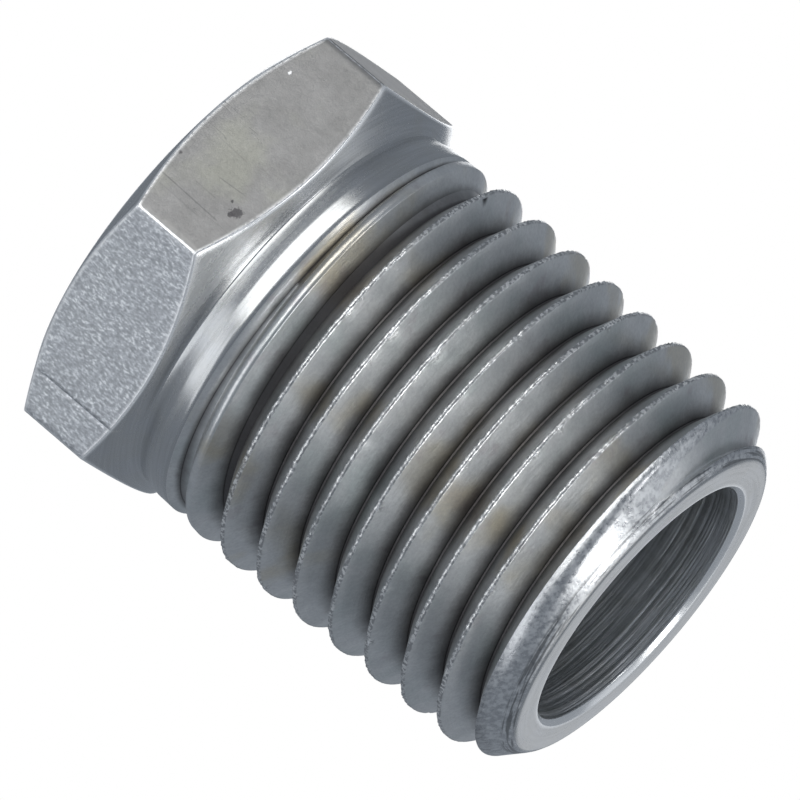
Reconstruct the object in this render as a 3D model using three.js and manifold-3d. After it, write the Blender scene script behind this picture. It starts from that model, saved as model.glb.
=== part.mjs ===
// Hex reducing nipple for pipe: a hexagon head, a tapered outside thread, and a bore with a smaller
// inside thread that enters from the head. It is turned and threaded from one bar, so it is one solid.
// Millimetres. The part stands on the head's outer face, centred on z = 0, with the thread pointing up +Z.
import * as THREE from "three";
import { mergeVertices } from "three/addons/utils/BufferGeometryUtils.js";
import Module from "manifold-3d";

const wasm = await Module();
wasm.setup();

const inch = 25.4;
const degree = Math.PI / 180;

// Head: a regular hexagon, turned down at both ends so that its corners end in cones.
const acrossFlats = (9 / 16) * inch;
const overallLength = 18.1;
const headLength = 3.05; // along a corner, from the outer face to the front cone
const headConeSlope = 30 * degree; // of both head cones, from a plane across the axis
const outerFaceInset = 0.14; // the outer face's edge, inside the flats

// Outside thread, on a cone that narrows towards the tip.
const maleThread = {
  pitch: inch / 18,
  segments: 24, // in one turn
};
const tipCrestRadius = 6.59;
const firstCrest = 6.15; // height of the first whole crest, over the +X axis
const neckDepth = 0.36; // the plain neck, under the thread's crests
const neckLength = 1.1; // from the head's cone to where the thread grooves begin
const runoutSlope = 22 * degree; // of the floor where the grooves deepen, from the axis
const tipWall = 1.13; // width of the tip's end face
const tipChamferSlope = 45 * degree;

// Bore, and an inside thread that enters it at the outer face of the head. The bore is the thread's
// tapping size, so the grooves start at the mouth with their full height outside it.
const boreRadius = 4.4;
const boreEdgeChamfer = 0.15;
const femaleThread = {
  pitch: inch / 27,
  segments: 16,
};
const mouthClearance = 0.1; // of the countersunk mouth, around the grooves
const femaleThreadDepth = 9.5;
const femaleRunout = 1.2; // the grooves shrink to the bore over this length

// Both threads have the same form.
const threadTaper = 1 / 32; // fall in radius along the axis, going deeper or nearer the tip
const flankAngle = 30 * degree; // of each side of a tooth, from a plane across the axis
const crestFlat = 0.08; // of the pitch
const rootFlat = 0.04; // of the pitch
const sunkShare = 0.8; // of the tooth's foot that can be sunk before neighbouring turns meet

const overlap = 0.5; // cutters and joined pieces reach past each other by this
const roundSegments = 72;

const cornerRadius = acrossFlats / 2 / Math.cos(Math.PI / 6);
const outerFaceRadius = acrossFlats / 2 - outerFaceInset;
const tipRadius = boreRadius + tipWall;

// The tooth of a thread: how high it stands, how deep its foot is sunk, and its widths.
function toothOf(thread) {
  const rise = 2 * Math.tan(flankAngle);
  const height = ((1 - crestFlat - rootFlat) * thread.pitch) / rise;
  const sink = (sunkShare * rootFlat * thread.pitch) / rise;
  const crest = crestFlat * thread.pitch;
  return { height, sink, crest, foot: crest + rise * (height + sink) };
}

const mouthGrooveRadius = boreRadius + toothOf(femaleThread).height;
const crestAt = (height) => tipCrestRadius + threadTaper * (overallLength - height);
const rootAt = (height) => crestAt(height) - toothOf(maleThread).height;
const neckRadius = crestAt(headLength) - neckDepth;
const coneFoot = headLength + (cornerRadius - neckRadius) * Math.tan(headConeSlope);
const grooveStart = coneFoot + neckLength;

// Turns a three.js geometry into a solid for joining and cutting.
function solidFrom(geometry) {
  const bare = geometry.clone();
  bare.deleteAttribute("normal");
  bare.deleteAttribute("uv");
  const merged = mergeVertices(bare, 1e-4);
  const vertProperties = new Float32Array(merged.attributes.position.array);
  const triVerts = new Uint32Array(merged.index.array);
  return new wasm.Manifold(new wasm.Mesh({ numProp: 3, vertProperties, triVerts }));
}

function geometryFrom(solid) {
  const made = solid.getMesh();
  const geometry = new THREE.BufferGeometry();
  geometry.setAttribute("position", new THREE.BufferAttribute(made.vertProperties, 3));
  geometry.setIndex(new THREE.BufferAttribute(made.triVerts, 1));
  geometry.computeVertexNormals();
  return geometry;
}

// A turned solid. The outline runs up the axis as pairs of radius and height.
function turned(outline, segments) {
  const closed = [[0, outline[0][1]], ...outline, [0, outline.at(-1)[1]]];
  const points = closed.map(([radius, height]) => new THREE.Vector2(radius, height));
  return solidFrom(new THREE.LatheGeometry(points, segments).rotateX(Math.PI / 2));
}

// The path of a thread: a right-handed helix on a cone, along which the section stays upright.
class ThreadPath extends THREE.Curve {
  constructor(pitch, start, turns, radiusAt) {
    super();
    Object.assign(this, { pitch, start, turns, radiusAt });
  }

  getPoint(t, target = new THREE.Vector3()) {
    const height = this.start + this.pitch * this.turns * t;
    return target.copy(this.outwardAt(t)).multiplyScalar(this.radiusAt(height)).setZ(height);
  }

  outwardAt(t) {
    const angle = 2 * Math.PI * this.turns * t;
    return new THREE.Vector3(Math.cos(angle), Math.sin(angle), 0);
  }

  // Equal turns rather than equal lengths, so that the facets of each turn line up with the next.
  getSpacedPoints(divisions) {
    return this.getPoints(divisions);
  }

  computeFrenetFrames(segments) {
    const up = new THREE.Vector3(0, 0, 1);
    const outward = Array.from({ length: segments + 1 }, (_, i) => this.outwardAt(i / segments));
    return {
      tangents: outward.map((direction) => up.clone().cross(direction)),
      normals: outward.map(() => up),
      binormals: outward,
    };
  }
}

// One long tooth wound round the axis, from the height start and over the +X axis.
// footAt gives the radius that it stands on at a height.
function woundTooth(thread, start, turns, footAt) {
  const { height, sink, crest, foot } = toothOf(thread);
  const section = new THREE.Shape([
    new THREE.Vector2(-foot / 2, -sink),
    new THREE.Vector2(foot / 2, -sink),
    new THREE.Vector2(crest / 2, height),
    new THREE.Vector2(-crest / 2, height),
  ]);
  const extrudePath = new ThreadPath(thread.pitch, start, turns, footAt);
  return solidFrom(new THREE.ExtrudeGeometry(section, { steps: turns * thread.segments, extrudePath }));
}

// The hexagon bar, cut by the cones at its two ends.
function hexHead() {
  const centre = new THREE.Vector2();
  const corners = Array.from({ length: 6 }, (_, i) =>
    new THREE.Vector2(cornerRadius, 0).rotateAround(centre, (i * Math.PI) / 3),
  );
  const bar = new THREE.ExtrudeGeometry(new THREE.Shape(corners), { depth: coneFoot, bevelEnabled: false });
  const slope = Math.tan(headConeSlope);
  const wide = cornerRadius + overlap;
  const cones = turned(
    [
      [outerFaceRadius, 0],
      [wide, (wide - outerFaceRadius) * slope],
      [wide, headLength - overlap * slope],
      [neckRadius, coneFoot],
    ],
    roundSegments,
  );
  return solidFrom(bar).intersect(cones);
}

// The plain neck and the cone inside the thread, with the tooth wound on it and the tip chamfered.
function threadedShank() {
  const runoutLength = (neckRadius - rootAt(grooveStart)) / (Math.tan(runoutSlope) - threadTaper);
  const runoutEnd = Math.min(grooveStart + runoutLength, overallLength - overlap);
  const core = turned(
    [
      [neckRadius, headLength],
      [neckRadius, grooveStart],
      [rootAt(runoutEnd), runoutEnd],
      [rootAt(overallLength), overallLength],
    ],
    maleThread.segments,
  );
  const toothStart = firstCrest - 2 * maleThread.pitch;
  const turns = Math.ceil((overallLength - toothStart) / maleThread.pitch) + 1;
  const tooth = woundTooth(maleThread, toothStart, turns, rootAt);

  // The crests grow out of the neck over one turn, and the tip's chamfer cuts the last of them.
  const clear = crestAt(headLength) + overlap;
  const grown = grooveStart + ((clear - neckRadius) / neckDepth) * maleThread.pitch;
  const chamferStart = overallLength - (clear - tipRadius) / Math.tan(tipChamferSlope);
  const envelope = turned(
    [
      [neckRadius, headLength],
      [neckRadius, grooveStart],
      [clear, Math.min(grown, chamferStart)],
      [clear, chamferStart],
      [tipRadius, overallLength],
    ],
    maleThread.segments,
  );
  return core.add(tooth).intersect(envelope);
}

// The bore, with a small chamfer at the tip and a countersunk mouth at the head.
function boreCutter() {
  const mouthRadius = mouthGrooveRadius + mouthClearance;
  const outline = [
    [mouthRadius + overlap, -overlap],
    [boreRadius, mouthRadius - boreRadius],
    [boreRadius, overallLength - boreEdgeChamfer],
    [boreRadius + boreEdgeChamfer + overlap, overallLength + overlap],
  ];
  return turned(outline, 2 * femaleThread.segments);
}

// The grooves of the inside thread, shrinking into the bore at their inner end.
function femaleThreadCutter() {
  const footAt = (height) => mouthGrooveRadius - toothOf(femaleThread).height - threadTaper * height;
  const turns = Math.ceil(femaleThreadDepth / femaleThread.pitch) + 1;
  const tooth = woundTooth(femaleThread, -femaleThread.pitch / 2, turns, footAt);
  const outside = mouthGrooveRadius + overlap;
  const reach = turned(
    [
      [outside, -overlap],
      [outside, femaleThreadDepth - femaleRunout],
      [boreRadius - mouthClearance, femaleThreadDepth],
    ],
    2 * femaleThread.segments,
  );
  return tooth.intersect(reach);
}

const steel = new THREE.MeshStandardMaterial({ color: 0x8f9192, roughness: 0.38, metalness: 0.9 });

const outside = hexHead().add(threadedShank());
const hollowed = outside.subtract(boreCutter().add(femaleThreadCutter()));

const bushingBody = new THREE.Mesh(geometryFrom(hollowed), steel);
bushingBody.name = "bushing_body";

const hexNipple = new THREE.Group();
hexNipple.add(bushingBody);

export default hexNipple;
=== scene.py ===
import math

import bmesh
import bpy
import numpy as np
from mathutils import Matrix, Vector


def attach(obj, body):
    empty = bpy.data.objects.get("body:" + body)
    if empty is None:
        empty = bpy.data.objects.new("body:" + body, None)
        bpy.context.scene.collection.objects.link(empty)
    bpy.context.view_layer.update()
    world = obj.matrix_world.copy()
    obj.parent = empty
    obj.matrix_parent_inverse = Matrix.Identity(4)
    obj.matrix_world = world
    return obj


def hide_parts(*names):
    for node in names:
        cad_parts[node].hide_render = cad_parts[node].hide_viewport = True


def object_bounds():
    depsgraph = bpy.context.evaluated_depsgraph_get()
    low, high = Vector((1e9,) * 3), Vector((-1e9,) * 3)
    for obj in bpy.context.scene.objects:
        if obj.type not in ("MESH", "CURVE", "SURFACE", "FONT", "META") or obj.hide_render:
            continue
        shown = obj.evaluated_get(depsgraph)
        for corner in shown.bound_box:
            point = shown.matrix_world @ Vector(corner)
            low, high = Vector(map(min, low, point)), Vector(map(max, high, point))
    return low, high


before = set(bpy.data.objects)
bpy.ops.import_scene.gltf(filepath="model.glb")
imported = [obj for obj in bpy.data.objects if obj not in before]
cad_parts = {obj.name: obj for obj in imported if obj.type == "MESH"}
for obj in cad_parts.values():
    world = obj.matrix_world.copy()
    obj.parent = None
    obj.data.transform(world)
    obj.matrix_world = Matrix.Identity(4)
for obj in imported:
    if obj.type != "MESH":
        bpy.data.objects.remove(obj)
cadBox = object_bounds()
mm = 0.001
print("frame loaded, box", [tuple(round(v / mm, 2) for v in corner) for corner in cadBox])

# The studio: camera, floor and lights.

studio = {
    "azimuth": -63.84,  # of the camera, round the part's axis
    "elevation": 15.85,
    "axisDrop": 40.27,  # the part's axis points this far below the horizontal of the picture
    "aimHeight": 8.33,
    "aimSide": -0.048,
    "distance": 360.6,
    "lens": 545,
    "floorSize": 4000,
    "floorWhite": 1.0,
    "ambient": (0.235, 0.26, 0.295),
}


def unit(azimuth, elevation):
    # (cos a cos e, sin a cos e, sin e)
    a, e = math.radians(azimuth), math.radians(elevation)
    return Vector((math.cos(a) * math.cos(e), math.sin(a) * math.cos(e), math.sin(e)))


def cameraAxes(plan):
    # towards the camera, then the axis as it is seen, then right and up turned by the drop
    back = unit(plan["azimuth"], plan["elevation"])
    side = unit(plan["azimuth"] + 90, 0)
    along = (Vector((0, 0, 1)) - back * back.z).normalized()
    drop = math.radians(plan["axisDrop"])
    right = along * math.cos(drop) - side * math.sin(drop)
    up = -along * math.sin(drop) - side * math.cos(drop)
    return right, up, back, side


camRight, camUp, camBack, camSide = cameraAxes(studio)


def seenFrom(right, up, back):
    # a direction told as the camera sees it: rightwards, upwards and towards it
    return (camRight * right + camUp * up + camBack * back).normalized()


def addCamera(plan):
    data = bpy.data.cameras.new("camera")
    data.lens = plan["lens"]
    data.sensor_width = 36  # full frame
    data.clip_start, data.clip_end = 0.01, 20
    camera = bpy.data.objects.new("camera", data)
    aim = Vector((0, 0, plan["aimHeight"] * mm)) + camSide * plan["aimSide"] * mm
    axes = Matrix((camRight, camUp, camBack)).transposed().to_4x4()
    camera.matrix_world = Matrix.Translation(aim + camBack * plan["distance"] * mm) @ axes
    bpy.context.scene.collection.objects.link(camera)
    bpy.context.scene.camera = camera


def addNode(tree, kind, links=None, **settings):
    # one node, its settings, and its sockets given either a value or another node's output
    node = tree.nodes.new(kind)
    for key, value in settings.items():
        setattr(node, key, value)
    for socket, value in (links or {}).items():
        if isinstance(value, bpy.types.NodeSocket):
            tree.links.new(value, node.inputs[socket])
        else:
            node.inputs[socket].default_value = value
    return node


def addFloor(plan):
    # white to the camera, as an overlit studio sheet is
    half = plan["floorSize"] / 2 * mm
    z = cadBox[0].z - 0.01 * mm
    mesh = bpy.data.meshes.new("floor")
    corners = [(-half, -half, z), (half, -half, z), (half, half, z), (-half, half, z)]
    mesh.from_pydata(corners, [], [(0, 1, 2, 3)])
    floor = bpy.data.objects.new("floor", mesh)
    bpy.context.scene.collection.objects.link(floor)
    material = bpy.data.materials.new("floorWhite")
    material.use_nodes = True
    tree = material.node_tree
    tree.nodes.clear()
    white = plan["floorWhite"]
    glow = addNode(tree, "ShaderNodeEmission", {"Color": (white, white, white, 1), "Strength": 1.0})
    addNode(tree, "ShaderNodeOutputMaterial", {"Surface": glow.outputs[0]})
    mesh.materials.append(material)
    floor.visible_glossy = False
    floor.visible_diffuse = False
    floor.visible_shadow = False


lights = {
    # name: middle direction (right, up, towards the camera), direction its long side runs towards,
    # half its angle across and along, brightness, colour
    "overhead": ((-0.20, 0.61, 0.77), (0.20, 0.87, 0.44), 10, 39, 2.8, (1.0, 1.0, 0.98)),
    "leftWall": ((-0.84, -0.20, 0.49), (-0.10, 0.98, 0.20), 14, 30, 1.12, (0.97, 0.985, 1.0)),
    "lowerRight": ((0.69, -0.50, 0.52), (0.30, -0.30, 0.90), 9, 14, 5.4, (1.0, 1.0, 0.99)),
    "right": ((0.95, -0.25, 0.02), (0.80, 0.10, 0.60), 17, 20, 0.5, (0.97, 0.985, 1.0)),
    "sideLow": ((0.70, -0.71, -0.02), (0.90, -0.40, 0.0), 16, 18, 0.78, (1.0, 0.99, 0.96)),
    "edgeLight": ((0.80, 0.22, 0.56), (0.60, 0.50, 0.60), 6, 9, 5.0, (1.0, 1.0, 1.0)),
    "tipFace": ((0.40, -0.34, -0.85), (0.50, 0.50, 0.0), 13, 13, 0.42, (1.0, 1.0, 1.0)),
    "behind": ((0.06, 0.11, -0.99), (-0.5, 0.5, -0.1), 12, 13, 1.8, (1.0, 1.0, 1.0)),
}


def addLight(name, direction, alongTo, across, along, brightness, colour):
    # a softbox facing the part; its power is its brightness times pi times its area
    reach = 0.8  # metres from the part
    straight = name == "overhead"  # has straight ends; the others are ellipses
    towards, long = seenFrom(*direction), seenFrom(*alongTo)
    long = (long - towards * long.dot(towards)).normalized()
    data = bpy.data.lights.new(name, "AREA")
    data.shape = "RECTANGLE" if straight else "ELLIPSE"
    data.size, data.size_y = (2 * reach * math.tan(math.radians(a)) for a in (along, across))
    fill = 1 if straight else math.pi / 4
    data.energy = brightness * math.pi * fill * data.size * data.size_y
    data.color = colour
    light = bpy.data.objects.new(name, data)
    turn = Matrix((long, towards.cross(long), towards)).transposed().to_4x4()
    light.matrix_world = Matrix.Translation(towards * reach) @ turn
    light.visible_camera = False
    bpy.context.scene.collection.objects.link(light)


def addWorld(plan):
    world = bpy.data.worlds.new("studio")
    world.use_nodes = True
    # the part is lit by the ambient light, and the camera sees white past the floor
    tree = world.node_tree
    ambient = tree.nodes["Background"]
    ambient.inputs["Color"].default_value = (*plan["ambient"], 1)
    white = addNode(tree, "ShaderNodeBackground", {"Color": (1, 1, 1, 1)})
    seen = addNode(tree, "ShaderNodeLightPath").outputs["Is Camera Ray"]
    both = addNode(tree, "ShaderNodeMixShader", {0: seen, 1: ambient.outputs[0], 2: white.outputs[0]})
    tree.links.new(both.outputs[0], tree.nodes["World Output"].inputs["Surface"])
    bpy.context.scene.world = world


addCamera(studio)
addFloor(studio)
addWorld(studio)
for lightName, lightPlan in lights.items():
    addLight(lightName, *lightPlan)
bpy.context.scene.view_settings.view_transform = "Standard"
print("studio ready")

# The bushing's shape.

bushing = {
    "acrossFlats": 9 / 16 * 25.4,
    "length": 18.1,
    "headLength": 3.05,  # along a corner
    "coneSlope": 30,  # of both head cones, from a plane across the axis
    "faceInset": 0.14,  # the outer face's edge, inside the flats
    "cornerBreak": 0.04,  # taken off each corner of the hexagon
    "edgeBreak": 0.045,  # along the head's and the neck's edges
    "tipEdgeBreak": 0.02,  # along the bore's edges
    "columns": 60,  # round each sixth of a turn
    "flatRows": 14,
    # neck: heights and radii where its lands begin and end, up to where the crests are free
    "neckHeights": (3.99, 4.60, 5.35, 5.60, 6.25, 6.96, 7.6),
    "neckRadii": (6.65, 6.77, 6.80, 6.80, 6.87, 6.95, 7.1),
    "grooveHeights": (5.2, 5.45, 7.1),  # the floor of the first grooves, from the last land down
    "grooveRadii": (6.794, 6.45, 5.86),
    # outside thread
    "pitch": 25.4 / 18,
    "crestRadius": 6.59,  # at the tip
    "taper": 1 / 32,
    "flankAngle": 30,  # from a plane across the axis
    "crestFlat": 0.08,  # of the pitch
    "rootFlat": 0.04,  # of the pitch
    "firstTurn": -2,  # of the tooth, which starts under the neck
    "firstCrest": 6.15,  # height of a crest over the +X axis
    "tipWall": 1.13,
    "tipRound": 0.17,  # taken off the edge between the chamfer and the tip's face
    "lastGroove": (7.64, 7.80),  # turns between which it runs out
    # bore and inside thread
    "bore": 4.4,
    "boreEdge": 0.15,
    "innerPitch": 25.4 / 27,
    "innerDepth": 9.5,
    "innerRunout": 1.2,  # the grooves shrink to the bore over this length
    "mouthClearance": 0.1,
    "boreRows": 10,
}

marks = {
    "seed": 11,
    "roughCrest": 0.006,  # unevenness of the crests
    "smallNicks": 90,
    "wearFrom": 5.6,  # height from which the crests are worn
    "dirtAndShadeDepth": 0.75,  # a groove this deep, or deeper, gets the full dirt and painted shade at its root
    # nicks on the crests: place in turns, width in turns, depth, brightness of a painted glint (dark
    # below 0)
    "nicks": (
        (1.790, 0.010, 0.05, 1.0),
        (1.815, 0.004, 0.03, 0.8),
        (2.782, 0.011, 0.05, 1.0),
        (2.803, 0.006, 0.04, 0.7),
        (0.799, 0.006, 0.04, 0.8),
        (0.785, 0.004, 0.03, 0.6),
        (5.763, 0.005, 0.05, 0.9),
        (0.642, 0.010, 0.10, -1.0),
    ),
    # a score along one flat: azimuth, half width, depth, where it starts and ends along the axis
    "score": {"azimuth": 350.66, "halfWidth": 0.35, "depth": 0.03, "from": 0.7, "to": 3.6},
}
random = np.random.default_rng(marks["seed"])

halfFlats = bushing["acrossFlats"] / 2
cornerRadius = halfFlats / math.cos(math.pi / 6)
headSlope = math.tan(math.radians(bushing["coneSlope"]))
cot = 1 / math.tan(math.radians(bushing["flankAngle"]))
length = bushing["length"]
tipRadius = bushing["bore"] + bushing["tipWall"]


def toothHeight(pitch):
    # half of what the two flats leave of the pitch, over the tangent of the flank angle
    return (1 - bushing["crestFlat"] - bushing["rootFlat"]) * pitch * cot / 2


def columnAngles():
    # in each sixth of a turn: a corner, the edges of its break, and even steps between them
    edge = math.atan(bushing["cornerBreak"] * math.tan(math.pi / 3) / cornerRadius)
    steps = np.linspace(edge, math.pi / 3 - edge, bushing["columns"])
    sixth = np.concatenate([[0.0], steps])
    turns = [sixth + k * math.pi / 3 for k in range(6)]
    score = math.radians(marks["score"]["azimuth"])
    half = math.radians(marks["score"]["halfWidth"])
    return np.sort(np.concatenate(turns + [[score - half, score, score + half, 2 * math.pi]]))


def hexRadius(angle):
    # half the width across flats over the cosine from a flat's middle; the break is cut alike
    fromFlat = angle % (math.pi / 3) - math.pi / 6
    fromCorner = math.pi / 6 - np.abs(fromFlat)
    broken = (cornerRadius - bushing["cornerBreak"]) / np.cos(fromCorner)
    return np.minimum(halfFlats / np.cos(fromFlat), broken)


def crestNicks(turn):
    # along the thread: small random nicks and the named ones, each a dip of depth times (1 - distance
    # / width) squared, with a painted glint of its brightness times (1 - distance / width)
    columns = turn.shape[1] - 1
    wobble = random.normal(0, 1, (turn.shape[0] + 1) * columns + 1)
    wobble = wobble[np.arange(turn.shape[0])[:, None] * columns + np.arange(columns + 1)[None, :]]
    count = marks["smallNicks"]
    small = np.stack([
        random.uniform(0, turn.max(), count),
        random.uniform(0.003, 0.008, count),
        random.uniform(0.01, 0.05, count),
        random.uniform(-0.5, 0.8, count),
    ], axis=1)
    dip, glint = np.zeros(turn.shape), np.zeros(turn.shape)
    for place, width, depth, bright in np.concatenate([small, np.array(marks["nicks"])]):
        near = np.maximum(0, 1 - np.abs(turn - place) / width)
        dip += depth * near**2
        glint += bright * near
    return dip, glint, wobble


def crestLine(z):
    # radius at the tip, plus the taper times the distance from the tip
    return bushing["crestRadius"] + bushing["taper"] * (length - z)


def envelope(z):
    # the neck's lands, then clear of the crests, then the tip's 45 degree chamfer
    clear = bushing["neckRadii"][-1]
    heights = bushing["neckHeights"] + (length - (clear - tipRadius), length)
    return np.interp(z, heights, bushing["neckRadii"] + (clear, tipRadius))


def grooveFloor(z):
    # the first grooves' shallow floor, then the thread's root
    root = crestLine(z) - toothHeight(bushing["pitch"])
    return np.maximum(root, np.interp(z, bushing["grooveHeights"], bushing["grooveRadii"], right=0))


def toothSide(z, crest):
    # the crest line, falling away past the crest's flat at the flank angle
    beyond = np.abs(z - crest) - bushing["crestFlat"] * bushing["pitch"] / 2
    return crestLine(z) - np.maximum(0, beyond) * cot


def crossing(low, high, passed, halvings=28):
    # halves the span until it holds the place where passed turns true, going from low to high
    for _ in range(halvings):
        middle = (low + high) / 2
        hit = passed(middle)
        low, high = np.where(hit, low, middle), np.where(hit, middle, high)
    return high


def outerThread(angle):
    # rows of radius and height up the thread; a row follows the helix, whose height is the
    # first crest's plus pitch times turns, and its radius is that of the tooth's side, no
    # less than the groove's floor and no more than the envelope
    pitch = bushing["pitch"]
    last = math.ceil((length - bushing["firstCrest"]) / pitch) - 1
    turn = np.arange(bushing["firstTurn"], last + 2)[:, None] + angle[None, :] / (2 * math.pi)
    crest = bushing["firstCrest"] + pitch * turn
    flat = bushing["crestFlat"] * pitch / 2
    standing = lambda z: toothSide(z, crest) >= envelope(z)
    clear = lambda z: toothSide(z, crest) >= grooveFloor(z)
    crestBack = crossing(crest - pitch / 2, crest - flat, standing)
    crestFront = crossing(crest + pitch / 2, crest + flat, standing)
    backFoot = crossing(crest - pitch / 2, crestBack, clear)
    frontFoot = crossing(crest + pitch / 2, crestFront, clear)
    chamferStart = length - (crestLine(length) - tipRadius) / (1 - bushing["taper"])
    cut = np.clip(chamferStart, crestBack, crestFront)
    keys = [backFoot]
    keys += [backFoot + (crestBack - backFoot) * share for share in (0.06, 0.5, 0.95)]
    keys += [crestBack, (crestBack + cut) / 2, cut, crestFront]
    drop = frontFoot - crestFront
    keys += [crestFront + drop * share for share in (0.05, 0.35, 0.65, 0.95)]
    keys += [frontFoot]
    following = np.roll(backFoot, -1, axis=0)
    keys += [np.clip(bushing["grooveHeights"][1], frontFoot, following)]
    # turns, keys, columns; the extra turn only gave the feet that follow
    z = np.stack(keys, axis=1)[:-1]
    centre = np.broadcast_to(crest[:-1, None, :], z.shape)
    # how far each key lies on the worn crest, and on its front edge
    onCrest, onFront = np.zeros(len(keys)), np.zeros(len(keys))
    onCrest[3:9] = (0.3, 1, 1, 1, 1, 0.3)
    onFront[6:9] = (0.6, 1, 0.7)
    z = np.maximum.accumulate(z.reshape(-1, len(angle)), axis=0)
    z = np.clip(z, bushing["grooveHeights"][0], length - bushing["tipRound"])
    centre = centre.reshape(z.shape)
    radius = np.minimum(envelope(z), np.maximum(grooveFloor(z), toothSide(z, centre)))
    # the last groove runs out into the tip's chamfer: its filling is a smooth step
    groove = (centre - bushing["firstCrest"]) / pitch - (z < centre)
    closing = bushing["lastGroove"]
    step = np.clip((groove - closing[0]) / np.diff(closing), 0, 1)
    radius = radius + (envelope(z) - radius) * step * step * (3 - 2 * step)
    # depth and sunk are 0 on the crest line and 1 at the root; sunk, which places the dirt and
    # painted shade, is less in shallow grooves, but is 1 along the line where the first one starts,
    # which paints a dark shade line there
    top = np.minimum(crestLine(z), envelope(z))
    whole = top - grooveFloor(z)
    depth = (top - radius) / np.maximum(whole, 0.01)
    sunk = np.clip((top - radius) / np.maximum(whole, marks["dirtAndShadeDepth"]), 0, 1)
    start = bushing["grooveHeights"]
    # painted shade: a dark line where the first groove starts
    starting = (z < start[1] + 0.05) * (z > start[0])
    sunk = np.maximum(sunk, np.clip(1.6 * depth - 0.6, 0, 1) * starting)
    # the crests' nicks and unevenness, where the crests aren't cut by the neck or the chamfer
    dip, glint, wobble = (np.repeat(part[:-1], len(keys), axis=0) for part in crestNicks(turn))
    turns = len(z) // len(keys)
    rowCrest, rowFront = (np.tile(part, turns)[:, None] for part in (onCrest, onFront))
    free = np.clip((envelope(z) - crestLine(z)) / 0.05 + 1, 0, 1) * (z > marks["wearFrom"])
    rough = marks["roughCrest"]
    radius = radius - rowCrest * free * (dip + rough * wobble)
    z = z + rowCrest * free * rough * np.roll(wobble, 3, axis=0) * (rowCrest > 0.5)
    # crest wear, plus painted glints at the nicks on the crests' front edges
    wearAndHighlight = rowCrest * free + rowFront * free * glint * 1.5
    return radius, z, wearAndHighlight, sunk, depth


def innerThread(angle):
    # rows down the inside thread, from its inner end to the mouth: the radius is the groove's
    # side, where that lies outside the bore and its countersunk mouth
    pitch, bore = bushing["innerPitch"], bushing["bore"]
    groove = bore + toothHeight(pitch)
    mouth = groove + bushing["mouthClearance"]
    depth = bushing["innerDepth"]
    wall = lambda z: np.maximum(bore, mouth - z)
    ends = (depth - bushing["innerRunout"], depth)
    reach = lambda z: np.interp(z, ends, (groove + 0.5, bore - bushing["mouthClearance"]))

    def side(z, bottom):
        beyond = np.abs(z - bottom) - bushing["crestFlat"] * pitch / 2
        return np.minimum(reach(z), groove - bushing["taper"] * z - np.maximum(0, beyond) * cot)

    turn = np.arange(math.ceil(depth / pitch) + 2)[:, None] + angle[None, :] / (2 * math.pi)
    bottom = -pitch / 2 + pitch * turn
    flat = bushing["crestFlat"] * pitch / 2
    cuts = lambda z: side(z, bottom) >= wall(z)
    nearFoot = crossing(bottom - pitch / 2, bottom - flat, cuts)
    farFoot = crossing(bottom + pitch / 2, bottom + flat, cuts)
    following = np.roll(nearFoot, -1, axis=0)
    land = np.clip(mouth - bore, farFoot, following)
    keys = [nearFoot, bottom - flat, bottom + flat, farFoot, land]
    z = np.stack(keys, axis=1)[:-1]
    centre = np.broadcast_to(bottom[:-1, None, :], z.shape).reshape(-1, len(angle))
    z = np.clip(np.maximum.accumulate(z.reshape(-1, len(angle)), axis=0), 0, depth)
    radius = np.maximum(wall(z), side(z, centre))
    return radius[::-1], z[::-1], mouth


def softened(keys, size):
    # each inner corner becomes three rows: a step back, the mean of the corner and the middle
    # of the two steps, and a step on
    rows = [keys[0]]
    for before, corner, after in zip(keys, keys[1:], keys[2:]):
        steps = []
        for other in (before, after):
            gap = other - corner
            far = np.linalg.norm(gap, axis=0)
            steps.append(corner + gap * np.minimum(size / np.maximum(far, 1e-9), 0.3))
        rows += [steps[0], corner / 2 + (steps[0] + steps[1]) / 4, steps[1]]
    return rows + [keys[-1]]


def filled(start, end, count):
    # count rows between two, at even shares (k + 1) / (count + 1) of the way
    return [start + (end - start) * (k + 1) / (count + 1) for k in range(count)]


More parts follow.
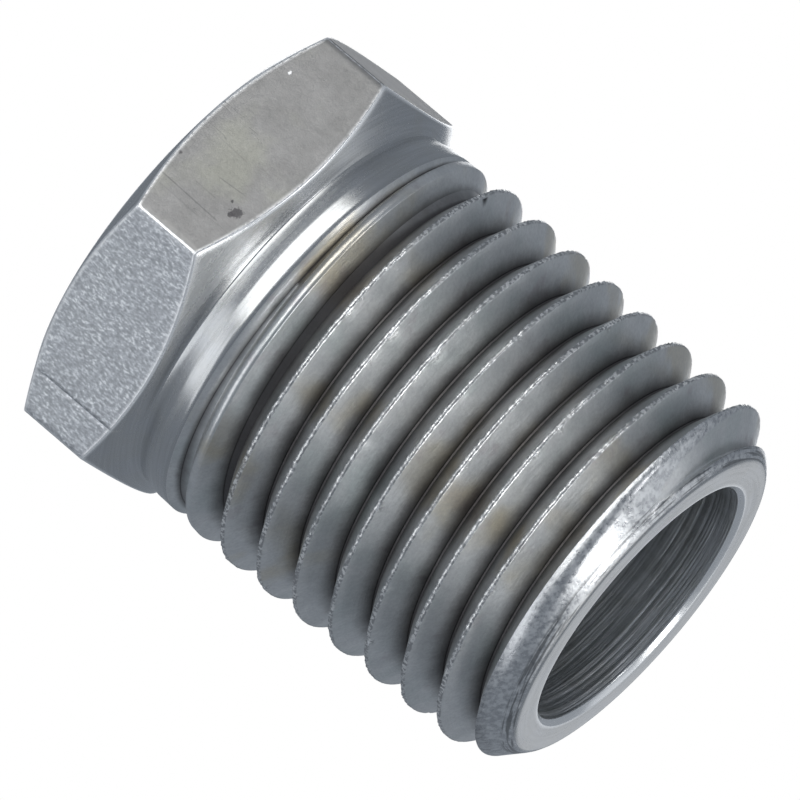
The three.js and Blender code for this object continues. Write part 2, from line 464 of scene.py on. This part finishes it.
def bodyRows(angle):
    # the whole outline of a section through the axis, as rows of (radius, height) over the
    # columns: it runs over the head, up the thread, across the tip and back down the bore
    def ring(radius, z):
        return np.stack([np.broadcast_to(radius, angle.shape), np.broadcast_to(z, angle.shape)])

    outer = hexRadius(angle)
    face = halfFlats - bushing["faceInset"]
    threadRadius, threadZ, wearAndHighlight, sunk, depth = outerThread(angle)
    innerRadius, innerZ, mouth = innerThread(angle)
    edge = bushing["edgeBreak"]
    flatStart = ring(outer, (outer - face) * headSlope)
    flatEnd = ring(outer, bushing["headLength"] + (cornerRadius - outer) * headSlope)
    foot = ring(bushing["neckRadii"][0], bushing["neckHeights"][0])
    land = ring(bushing["neckRadii"][1], bushing["neckHeights"][1])
    groove = ring(envelope(bushing["grooveHeights"][0]), bushing["grooveHeights"][0])
    faceKeys = [ring(mouth, 0), ring(face, 0)]
    head = softened(faceKeys + [flatStart, flatEnd, foot, land, groove], edge)
    # head holds 1 + 5 * 3 + 1 rows; its long runs are filled with even rows
    rows, zones = [], []

    def add(newRows, zone):
        rows.extend(newRows)
        zones.extend([zone] * len(newRows))

    add([head[0]] + filled(head[0], head[1], 3) + head[1:4], "turned")
    add(filled(head[3], head[4], 2) + head[4:6], "turned")
    add([head[6]] + filled(head[6], head[7], bushing["flatRows"]) + [head[7]], "flat")
    add(head[8:10] + filled(head[9], head[10], 5) + head[10:13], "turned")
    add(filled(head[12], head[13], 2) + head[13:16], "turned")
    add(filled(head[15], head[16], 2), "turned")
    crestStart = len(rows)
    add([head[16]], "turned")
    add(list(np.stack([threadRadius, threadZ], axis=1)), "thread")
    boreEdge = bushing["bore"] + bushing["boreEdge"]
    tip = softened(
        [
            ring(tipRadius + 0.1, length - 0.1),
            ring(tipRadius, length),
            ring(boreEdge, length),
            ring(bushing["bore"], length - bushing["boreEdge"]),
            ring(bushing["bore"], bushing["innerDepth"]),
        ],
        bushing["tipEdgeBreak"],
    )
    # the tip's round edge: a quadratic curve from the chamfer, past the corner, to the face
    rim = bushing["tipRound"]
    curve = [
        ring(tipRadius + rim * ((1 - t) ** 2 - t**2), length - rim * (1 - t) ** 2)
        for t in (0.25, 0.5, 0.75, 1)
    ]
    add(curve[:2], "thread")
    add(curve[2:] + filled(curve[3], tip[4], 3) + tip[4:7] + tip[7:9], "turned")
    wall = filled(tip[9], tip[10], bushing["boreRows"])
    add([tip[9]] + wall + [tip[10]], "bore")
    add(list(np.stack([innerRadius, innerZ], axis=1)), "bore")
    add([ring(mouth, 0)], "bore")
    masks = np.zeros((4, len(rows), len(angle)))  # wear and painted highlight, sunk, root, scuffed
    masks[:3, crestStart + 1 : crestStart + 1 + len(wearAndHighlight)] = wearAndHighlight, sunk, depth
    # the broken edges: rows at the middle of a softened edge, and the corners between the flats, get
    # painted highlight lines as well as edge wear
    stacked = np.stack(rows)
    for middle in (head[2], head[5], head[8], tip[5], tip[8]):
        row = int(np.argmin(np.abs(stacked - middle).sum(axis=(1, 2))))
        masks[0, row - 1 : row + 2] = np.array((0.7, 1, 0.7))[:, None]
    flatRows = np.array([zone == "flat" for zone in zones])
    atCorner = np.clip(1.6 - np.abs((np.degrees(angle) + 30) % 60 - 30) / 0.25, 0, 1)
    masks[0, flatRows] = np.maximum(masks[0, flatRows], atCorner[None, :])
    masks[3] = (np.cos(angle) > 0.5)[None, :]  # the two flats that face +X are more scuffed
    return np.stack(rows), zones, masks


def markSharp(mesh):
    # an edge is sharp where both its ends lie on the very root of the thread
    root = np.zeros(len(mesh.vertices), np.float32)
    mesh.attributes["root"].data.foreach_get("value", root)
    mesh.attributes.remove(mesh.attributes["root"])
    ends = np.zeros(len(mesh.edges) * 2, np.int32)
    mesh.edges.foreach_get("vertices", ends)
    sharp = (root[ends.reshape(-1, 2)] > 0.985).all(axis=1)
    mesh.attributes.new("sharp_edge", "BOOLEAN", "EDGE").data.foreach_set("value", sharp)


def addBody():
    # the outline carried round the axis: (radius cos angle, radius sin angle, height)
    angle = columnAngles()
    rows, zones, masks = bodyRows(angle)
    count, width = len(rows), len(angle)
    radius, z = rows[:, 0], rows[:, 1]
    score = marks["score"]
    near = np.abs(np.degrees(angle) - score["azimuth"]) < score["halfWidth"] / 2
    onHead = radius > bushing["neckRadii"][-1]
    scored = near[None, :] & (z > score["from"]) & (z < score["to"]) & onHead
    radius = radius - scored * score["depth"]
    points = np.stack([radius * np.cos(angle), radius * np.sin(angle), z], axis=-1) * mm
    index = np.arange(count * width).reshape(count, width)
    a, b = index[:-1, :-1], index[:-1, 1:]
    c, d = index[1:, 1:], index[1:, :-1]
    faces = np.stack([a, b, c, d], axis=-1).reshape(-1, 4)
    zoneNames = ["flat", "turned", "thread", "bore"]
    zoneOf = np.repeat([zoneNames.index(zone) for zone in zones[1:]], width - 1)
    mesh = bpy.data.meshes.new("bushing")
    mesh.from_pydata(points.reshape(-1, 3), [], faces)
    mesh.polygons.foreach_set("material_index", zoneOf.astype(np.int32))
    mesh.polygons.foreach_set("use_smooth", np.ones(len(faces), bool))
    for label, mask in zip(("wearAndHighlight", "sunk", "root", "scuffed"), masks):
        values = mesh.attributes.new(label, "FLOAT", "POINT").data
        values.foreach_set("value", mask.ravel().astype(np.float32))
    work = bmesh.new()
    work.from_mesh(mesh)
    bmesh.ops.remove_doubles(work, verts=work.verts, dist=2e-6)
    bmesh.ops.recalc_face_normals(work, faces=work.faces)
    openEdges = sum(1 for e in work.edges if len(e.link_faces) != 2)
    work.to_mesh(mesh)
    work.free()
    markSharp(mesh)
    body = bpy.data.objects.new("bushing", mesh)
    bpy.context.scene.collection.objects.link(body)
    weighted = body.modifiers.new("weighted", "WEIGHTED_NORMAL")
    weighted.mode = "FACE_AREA"
    weighted.keep_sharp = True
    print("bushing:", len(mesh.polygons), "faces,", openEdges, "open edges")
    return body


bushingObject = addBody()

# Zinc-plated steel, as it is on the drawn flats, the turned faces, the threads and the bore.
# Colours are linear; a texture's Scale is in waves for each metre.

plating = {
    "flat": {
        "light": (0.395, 0.386, 0.380),
        "dark": (0.340, 0.333, 0.325),
        "roughness": 0.52,
        "bump": 0.35,
        "bumpDistance": 0.03,
        "stain": (0.50, 0.50, 0.40),  # faint olive
        "fineScratch": (0.24, 0.24, 0.23),
        "scuffedDark": (0.44, 0.455, 0.48),
        "scuffedLight": (0.76, 0.78, 0.81),
        # painted glints on the scuffed flats
        "glitter": (0.98, 0.99, 1.0),
        "scratch": (0.20, 0.20, 0.20),
        "pit": (0.11, 0.105, 0.11),
        # bare metal, and painted highlights along the edges
        "bare": (1.0, 1.0, 1.0),
        # scratches on the flat that faces -Y: x, slant, start and end along the axis, strength
        "scratches": (
            (2.78, 0.03, 0.30, 2.85, 0.55),
            (1.72, -0.08, 1.70, 2.80, 0.45),
            (2.30, 0.02, 1.30, 2.40, 0.25),
            (3.10, 0.02, 0.60, 2.40, 0.25),
            (0.70, 0.05, 0.80, 2.10, 0.20),
        ),
        # pits and one bright fleck on the same flat: x, height, size
        "pits": ((2.24, 2.95, 0.20), (2.40, 2.86, 0.12), (1.90, 0.34, 0.09), (2.05, 2.6, 0.05)),
        "fleck": (-2.41, 0.78, 0.07),
    },
    "turned": {
        "light": (0.56, 0.57, 0.585),
        "dark": (0.50, 0.51, 0.52),
        "roughness": 0.25,
        "bump": 0.045,
        "bumpDistance": 0.012,
        "haze": (0.52, 0.51, 0.47),
        # bare metal, and painted highlights along the edges
        "bare": (0.92, 0.93, 0.94),
    },
    "thread": {
        "light": (0.78, 0.785, 0.78),
        "dark": (0.66, 0.67, 0.67),
        "roughness": 0.34,
        "bump": 0.3,
        "bumpDistance": 0.016,
        "brown": (0.65, 0.595, 0.475),
        "green": (0.56, 0.61, 0.60),
        "violet": (0.50, 0.44, 0.46),
        "grey": (0.40, 0.40, 0.41),
        # dirt and painted shade towards the roots of the thread
        "dirtAndShade": (0.095, 0.088, 0.090),
        "rootDirtAndShade": (0.05, 0.045, 0.045),
        "speck": (0.85, 0.85, 0.83),
        # painted shade in the gaps between the crests' painted glints, then the glints
        "crestGapShade": (0.30, 0.30, 0.305),
        "brightCrest": (0.82, 0.82, 0.81),
        "bare": (1.0, 1.0, 1.0),
        "darkNick": (0.06, 0.06, 0.06),
        "chamferDark": (0.50, 0.51, 0.525),
        "chamferLight": (0.74, 0.75, 0.76),
        "rimLine": (0.20, 0.205, 0.21),
    },
    "bore": {
        "light": (1.0, 1.0, 1.0),
        "dark": (0.64, 0.655, 0.67),
        "roughness": 0.36,
        "bump": 0.25,
        "bumpDistance": 0.03,
        "haze": (0.30, 0.30, 0.26),
    },
}


def newGroup(name, inputs, outputs):
    # an input is a vector where its value is None; every output is a mask or a length
    group = bpy.data.node_groups.new(name, "ShaderNodeTree")
    for label, value in inputs.items():
        kind = "NodeSocketVector" if value is None else "NodeSocketFloat"
        socket = group.interface.new_socket(label, in_out="INPUT", socket_type=kind)
        if value is not None:
            socket.default_value = value
    for label in outputs:
        group.interface.new_socket(label, in_out="OUTPUT", socket_type="NodeSocketFloat")
    given = group.nodes.new("NodeGroupInput").outputs
    return group, given, group.nodes.new("NodeGroupOutput").inputs


def calculated(tree, operation, first, second=0.0, clamp=False):
    links = {0: first, 1: second}
    return addNode(tree, "ShaderNodeMath", links, operation=operation, use_clamp=clamp).outputs[0]


def plus(tree, first, second):
    return calculated(tree, "ADD", first, second)


def minus(tree, first, second, clamp=False):
    return calculated(tree, "SUBTRACT", first, second, clamp)


def times(tree, first, second):
    return calculated(tree, "MULTIPLY", first, second)


def summed(tree, start, *terms):
    # start plus each mask times its amount
    total = start
    for mask, amount in terms:
        total = plus(tree, times(tree, mask, amount), total)
    return total


def ranged(tree, value, low, high, toLow=0.0, toHigh=1.0):
    # a smooth step from toLow, where the value is low, to toHigh, where it is high
    links = {"Value": value, "From Min": low, "From Max": high, "To Min": toLow, "To Max": toHigh}
    return addNode(tree, "ShaderNodeMapRange", links, interpolation_type="SMOOTHSTEP").outputs[0]


def mixed(tree, factor, first, second):
    # first where the factor is 0, second where it is 1
    node = addNode(tree, "ShaderNodeMix", {0: factor}, data_type="RGBA", blend_type="MIX")
    for index, colour in ((6, first), (7, second)):
        if isinstance(colour, bpy.types.NodeSocket):
            tree.links.new(colour, node.inputs[index])
        else:
            node.inputs[index].default_value = (*colour, 1)
    return node.outputs[2]


def noise(tree, vector, scale, detail=2.0, roughness=0.5):
    links = {"Vector": vector, "Scale": scale, "Detail": detail, "Roughness": roughness}
    return addNode(tree, "ShaderNodeTexNoise", links).outputs[0]


def grainGroup():
    # soft clouds, fine crystals and bright specks of the plating
    inputs = {"Vector": None, "Scale": 1.0}
    group, given, out = newGroup("zincGrain", inputs, ["Cloud", "Grain", "Speck"])
    vector = given["Vector"]
    cloud = noise(group, vector, 900.0, 4.0, 0.6)
    fine = noise(group, vector, times(group, given["Scale"], 9000.0), 3.0, 0.65)
    speck = noise(group, vector, times(group, given["Scale"], 14000.0), 1.0)
    group.links.new(ranged(group, cloud, 0.3, 0.7), out["Cloud"])
    group.links.new(fine, out["Grain"])
    group.links.new(ranged(group, speck, 0.62, 0.72), out["Speck"])
    return group


def toolMarkGroup():
    # lines that run round the axis: noise that changes quickly with radius and height, and
    # slowly with azimuth, because it is read at (radius, cos azimuth, sin azimuth, height)
    inputs = {"Vector": None, "Fineness": 9000.0, "Waver": 2.0}
    group, given, out = newGroup("toolMarks", inputs, ["Line", "Streak", "Radius"])
    parts = addNode(group, "ShaderNodeSeparateXYZ", {"Vector": given["Vector"]}).outputs
    square = plus(group, times(group, parts[0], parts[0]), times(group, parts[1], parts[1]))
    radius = calculated(group, "SQRT", square)
    group.links.new(radius, out["Radius"])
    around = [
        times(group, calculated(group, "DIVIDE", part, radius), given["Waver"])
        for part in parts[:2]
    ]
    for label, share, low, high in (("Line", 1.0, 0.35, 0.65), ("Streak", 0.35, 0.45, 0.7)):
        fineness = times(group, given["Fineness"], share)
        across = times(group, radius, fineness)
        along = times(group, parts[2], fineness)
        spot = addNode(group, "ShaderNodeCombineXYZ", {0: across, 1: around[0], 2: around[1]})
        links = {"Vector": spot.outputs[0], "W": along, "Scale": 1.0, "Detail": 3.0}
        lines = addNode(group, "ShaderNodeTexNoise", links, noise_dimensions="4D").outputs[0]
        group.links.new(ranged(group, lines, low, high), out[label])
    return group


def scratchGroup():
    # thin scratches: 1 - |noise - 1/2| / width, along the noise's middle value, in patches
    inputs = {"Vector": None, "Scale": 1.0, "Width": 0.012}
    group, given, out = newGroup("scratches", inputs, ["Mask"])
    waves = noise(group, given["Vector"], given["Scale"])
    off = calculated(group, "ABSOLUTE", minus(group, waves, 0.5))
    line = minus(group, 1.0, calculated(group, "DIVIDE", off, given["Width"]), clamp=True)
    patches = noise(group, given["Vector"], times(group, given["Scale"], 0.6))
    group.links.new(times(group, line, ranged(group, patches, 0.5, 0.62)), out["Mask"])
    return group


def spotGroup():
    # a ragged spot: distance from its centre over a size that noise makes uneven
    inputs = {"Vector": None, "X": 0.0, "Y": 0.0, "Z": 0.0, "Size": 0.1}
    group, given, out = newGroup("spot", inputs, ["Mask"])
    place = {0: given["X"], 1: given["Y"], 2: given["Z"]}
    centre = addNode(group, "ShaderNodeCombineXYZ", place).outputs[0]
    links = {0: centre, "Scale": mm}
    metres = addNode(group, "ShaderNodeVectorMath", links, operation="SCALE").outputs[0]
    links = {0: given["Vector"], 1: metres}
    gap = addNode(group, "ShaderNodeVectorMath", links, operation="DISTANCE").outputs["Value"]
    ragged = noise(group, given["Vector"], 15000.0)
    size = times(group, given["Size"], times(group, ragged, 2 * mm))
    share = calculated(group, "DIVIDE", gap, size)
    group.links.new(ranged(group, share, 1.15, 0.55), out["Mask"])
    return group


groups = {
    "grain": grainGroup(),
    "tool": toolMarkGroup(),
    "scratch": scratchGroup(),
    "spot": spotGroup(),
}


def placed(tree, name, **inputs):
    # one of the groups above, with its inputs given
    return addNode(tree, "ShaderNodeGroup", inputs, node_tree=groups[name]).outputs


def stretched(tree, vector, scale):
    return addNode(tree, "ShaderNodeMapping", {"Vector": vector, "Scale": scale}).outputs[0]


def attribute(tree, name):
    return addNode(tree, "ShaderNodeAttribute", attribute_name=name).outputs["Fac"]


def startSteel(name):
    material = bpy.data.materials.new(name)
    material.use_nodes = True
    tree = material.node_tree
    shader = tree.nodes["Principled BSDF"]
    shader.inputs["Metallic"].default_value = 1.0
    vector = addNode(tree, "ShaderNodeTexCoord").outputs["Object"]
    return material, tree, shader, vector


def finishSteel(tree, shader, look, colour, roughness, height, bare=None):
    # metallic is 1 - 0.3 times the mask of bare metal and painted highlights, where the metal is
    # scuffed or a highlight is painted, and scatters the light
    if bare is not None:
        tree.links.new(minus(tree, 1.0, times(tree, bare, 0.3)), shader.inputs["Metallic"])
    tree.links.new(colour, shader.inputs["Base Color"])
    tree.links.new(roughness, shader.inputs["Roughness"])
    distance = look["bumpDistance"] * mm
    links = {"Height": height, "Strength": look["bump"], "Distance": distance}
    bump = addNode(tree, "ShaderNodeBump", links)
    tree.links.new(bump.outputs[0], shader.inputs["Normal"])


def scuffedFlats(tree, look, vector, colour):
    # the scuffed flats are lighter, with painted glints on grains in patches
    scuffed = attribute(tree, "scuffed")
    fine = noise(tree, stretched(tree, vector, (1.0, 1.0, 0.55)), 11500.0, 3.0, 0.6)
    patches = noise(tree, vector, 1300.0)
    bright = times(
        tree,
        ranged(tree, fine, 0.53, 0.67),
        ranged(tree, patches, 0.40, 0.62, 0.45, 1.0),
    )
    glitter = times(tree, bright, summed(tree, 0.04, (scuffed, 0.9)))
    grains = mixed(tree, ranged(tree, fine, 0.3, 0.7), look["scuffedDark"], look["scuffedLight"])
    colour = mixed(tree, times(tree, scuffed, 0.9), colour, grains)
    return mixed(tree, glitter, colour, look["glitter"])


def longScratches(tree, look, vector, colour):
    # on the flat that faces -Y, each runs along x + slant times the height above its start
    parts = addNode(tree, "ShaderNodeSeparateXYZ", {"Vector": vector}).outputs
    for x, slant, start, end, strength in look["scratches"]:
        line = plus(tree, x * mm, times(tree, minus(tree, parts[2], start * mm), slant))
        off = calculated(tree, "ABSOLUTE", minus(tree, parts[0], line))
        thin = ranged(tree, off, 0.035 * mm, 0.010 * mm)
        begun = ranged(tree, parts[2], start * mm, (start + 0.1) * mm)
        fading = ranged(tree, parts[2], end * mm, (end - 0.3) * mm)
        span = times(tree, begun, fading)
        side = ranged(tree, parts[1], (0.04 - halfFlats) * mm, (0.01 - halfFlats) * mm)
        mask = times(tree, times(tree, thin, span), times(tree, side, strength))
        colour = mixed(tree, mask, colour, look["scratch"])
    return colour


def flatSteel():
    # drawn bar: matte and mottled, with stains, fine scratches, a few pits, and bright edges that are
    # painted highlights as well as wear
    look = plating["flat"]
    material, tree, shader, vector = startSteel("drawnFlatSteel")
    grain = placed(tree, "grain", Vector=vector, Scale=0.8)
    colour = mixed(tree, grain["Cloud"], look["dark"], look["light"])
    stain = noise(tree, vector, 420.0, 3.0)
    colour = mixed(tree, ranged(tree, stain, 0.5, 0.68, 0.0, 0.35), colour, look["stain"])
    along = stretched(tree, vector, (1.0, 1.0, 0.12))
    scratch = placed(tree, "scratch", Vector=along, Scale=2600.0, Width=0.01)["Mask"]
    colour = mixed(tree, times(tree, scratch, 0.5), colour, look["fineScratch"])
    colour = scuffedFlats(tree, look, vector, colour)
    colour = longScratches(tree, look, vector, colour)
    for x, z, size in look["pits"]:
        pit = placed(tree, "spot", Vector=vector, X=x, Y=-halfFlats, Z=z, Size=size)["Mask"]
        colour = mixed(tree, times(tree, pit, 0.85), colour, look["pit"])
    x, z, size = look["fleck"]
    fleck = placed(tree, "spot", Vector=vector, X=x, Y=-halfFlats, Z=z, Size=size)["Mask"]
    colour = mixed(tree, fleck, colour, look["bare"])
    # painted highlight along the broken edges and corners, partly edge wear: near white and less
    # metallic
    onEdge = ranged(tree, attribute(tree, "wearAndHighlight"), 0.3, 0.9)
    edge = times(tree, onEdge, ranged(tree, grain["Grain"], 0.35, 0.5, 0.35, 1.0))
    colour = mixed(tree, edge, colour, look["bare"])
    rough = summed(tree, look["roughness"] - 0.12, (grain["Grain"], 0.25), (edge, -0.26))
    height = summed(tree, grain["Grain"], (scratch, -0.3))
    finishSteel(tree, shader, look, colour, rough, height, edge)
    return material


def turnedSteel():
    # turned faces: satin, with fine lines round the axis
    look = plating["turned"]
    material, tree, shader, vector = startSteel("turnedSteel")
    tool = placed(tree, "tool", Vector=vector, Fineness=16000.0, Waver=3.0)
    grain = placed(tree, "grain", Vector=vector, Scale=0.9)
    colour = mixed(tree, tool["Line"], look["dark"], look["light"])
    colour = mixed(tree, times(tree, grain["Cloud"], 0.3), colour, look["haze"])
    # painted highlight along the broken edges, partly edge wear: near white and less metallic
    edge = ranged(tree, attribute(tree, "wearAndHighlight"), 0.3, 0.9)
    colour = mixed(tree, edge, colour, look["bare"])
    least = look["roughness"] - 0.06
    rough = summed(tree, least, (grain["Grain"], 0.12), (tool["Streak"], 0.05))
    height = summed(tree, grain["Grain"], (tool["Line"], 0.5))
    finishSteel(tree, shader, look, colour, rough, height, edge)
    return material


def tintedFlanks(tree, look, vector, grain, blotch):
    # brown where the tint noise is high, green where it is low, and violet blotches
    colour = mixed(tree, grain["Cloud"], look["dark"], look["light"])
    tint = noise(tree, vector, 260.0, 3.0, 0.55)
    colour = mixed(tree, ranged(tree, tint, 0.51, 0.65, 0.0, 0.7), colour, look["brown"])
    colour = mixed(tree, ranged(tree, tint, 0.46, 0.34, 0.0, 0.5), colour, look["green"])
    colour = mixed(tree, ranged(tree, blotch, 0.58, 0.74, 0.0, 0.5), colour, look["violet"])
    mottle = ranged(tree, grain["Grain"], 0.35, 0.65, 0.0, 0.2)
    return mixed(tree, mottle, colour, look["grey"])


def threadSteel():
    # tinted flanks, dirt and painted shade darkening them towards the root, and worn crests with
    # painted glints in broken lines and painted shade in the gaps
    look = plating["thread"]
    material, tree, shader, vector = startSteel("threadSteel")
    wearAndHighlight, sunk = attribute(tree, "wearAndHighlight"), attribute(tree, "sunk")
    grain = placed(tree, "grain", Vector=vector, Scale=0.9)
    tool = placed(tree, "tool", Vector=vector, Fineness=12000.0, Waver=4.0)
    blotch = noise(tree, vector, 700.0, 4.0, 0.6)
    colour = tintedFlanks(tree, look, vector, grain, blotch)
    # dirt and painted shade: the flanks darken towards the root as a recess is shaded, ragged by the
    # blotches, and darkest at the very root
    ragged = plus(tree, sunk, times(tree, minus(tree, blotch, 0.5), 0.35))
    dirtAndShade = ranged(tree, ragged, 0.44, 1.05, 0.0, 0.78)
    colour = mixed(tree, dirtAndShade, colour, look["dirtAndShade"])
    colour = mixed(tree, ranged(tree, sunk, 0.95, 0.99, 0.0, 0.7), colour, look["rootDirtAndShade"])
    clean = minus(tree, 0.22, times(tree, dirtAndShade, 0.3), clamp=True)
    colour = mixed(tree, times(tree, grain["Speck"], clean), colour, look["speck"])

    # painted glints in broken lines along the worn crests, with painted shade in the gaps between
    # them
    glint = ranged(tree, noise(tree, vector, 9500.0), 0.47, 0.57)
    shown = times(tree, glint, ranged(tree, blotch, 0.38, 0.56, 0.45, 1.0))
    onCrest = ranged(tree, wearAndHighlight, 0.35, 1.0)
    sparkle = times(tree, onCrest, shown)
    gapShade = times(tree, onCrest, minus(tree, 0.7, shown, clamp=True))
    colour = mixed(tree, gapShade, colour, look["crestGapShade"])
    colour = mixed(tree, sparkle, colour, look["brightCrest"])
    # painted glints at the nicks, and dark nicks
    colour = mixed(tree, ranged(tree, wearAndHighlight, 1.1, 1.7), colour, look["bare"])
    colour = mixed(tree, ranged(tree, wearAndHighlight, -0.1, -0.6), colour, look["darkNick"])

    # the tip's chamfer is where radius plus height comes near the tip's own, and its rim
    # has a few dark lines
    heights = addNode(tree, "ShaderNodeSeparateXYZ", {"Vector": vector}).outputs[2]
    reach = plus(tree, tool["Radius"], heights)
    edge = length + tipRadius
    chamfer = ranged(tree, reach, (edge - 0.10) * mm, (edge - 0.06) * mm)
    crystal = noise(tree, vector, 4800.0, 4.0, 0.68)
    bruised = times(tree, chamfer, ranged(tree, crystal, 0.36, 0.60))
    crystals = ranged(tree, crystal, 0.38, 0.62)
    steel = mixed(tree, crystals, look["chamferDark"], look["chamferLight"])
    colour = mixed(tree, chamfer, colour, steel)
    inner = ranged(tree, tool["Radius"], (tipRadius + 0.36) * mm, (tipRadius + 0.26) * mm)
    lines = ranged(tree, tool["Line"], 0.6, 0.1, 0.0, 0.85)
    colour = mixed(tree, times(tree, times(tree, chamfer, inner), lines), colour, look["rimLine"])

    rough = summed(
        tree,
        look["roughness"] - 0.10,
        (grain["Grain"], 0.22),
        (dirtAndShade, 0.2),
        (bruised, 0.10),
        (chamfer, -0.08),
    )
    rough = minus(tree, rough, times(tree, sparkle, 0.12), clamp=True)
    crestGrain = times(tree, grain["Grain"], plus(tree, 1.0, times(tree, wearAndHighlight, 1.5)))
    crusted = times(tree, chamfer, crystal)
    height = summed(tree, crestGrain, (tool["Line"], 0.3), (crusted, 2.0))
    finishSteel(tree, shader, look, colour, rough, height, sparkle)
    return material


def boreSteel():
    # bored wall: broken light and dark streaks round the axis
    look = plating["bore"]
    material, tree, shader, vector = startSteel("boredSteel")
    tool = placed(tree, "tool", Vector=vector, Fineness=13000.0, Waver=0.7)
    grain = placed(tree, "grain", Vector=vector, Scale=0.8)
    patches = ranged(tree, noise(tree, vector, 260.0, 1.0), 0.40, 0.60, 0.25, 1.0)
    streak = times(tree, tool["Streak"], patches)
    colour = mixed(tree, streak, look["dark"], look["light"])
    colour = mixed(tree, times(tree, grain["Cloud"], 0.4), colour, look["haze"])
    rough = summed(tree, look["roughness"] - 0.05, (tool["Line"], 0.15))
    height = summed(tree, tool["Line"], (tool["Streak"], 1.5))
    finishSteel(tree, shader, look, colour, rough, height)
    return material


for makeSteel in (flatSteel, turnedSteel, threadSteel, boreSteel):
    bushingObject.data.materials.append(makeSteel())
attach(bushingObject, "root")
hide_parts("bushing_body")

print("bushing ready")
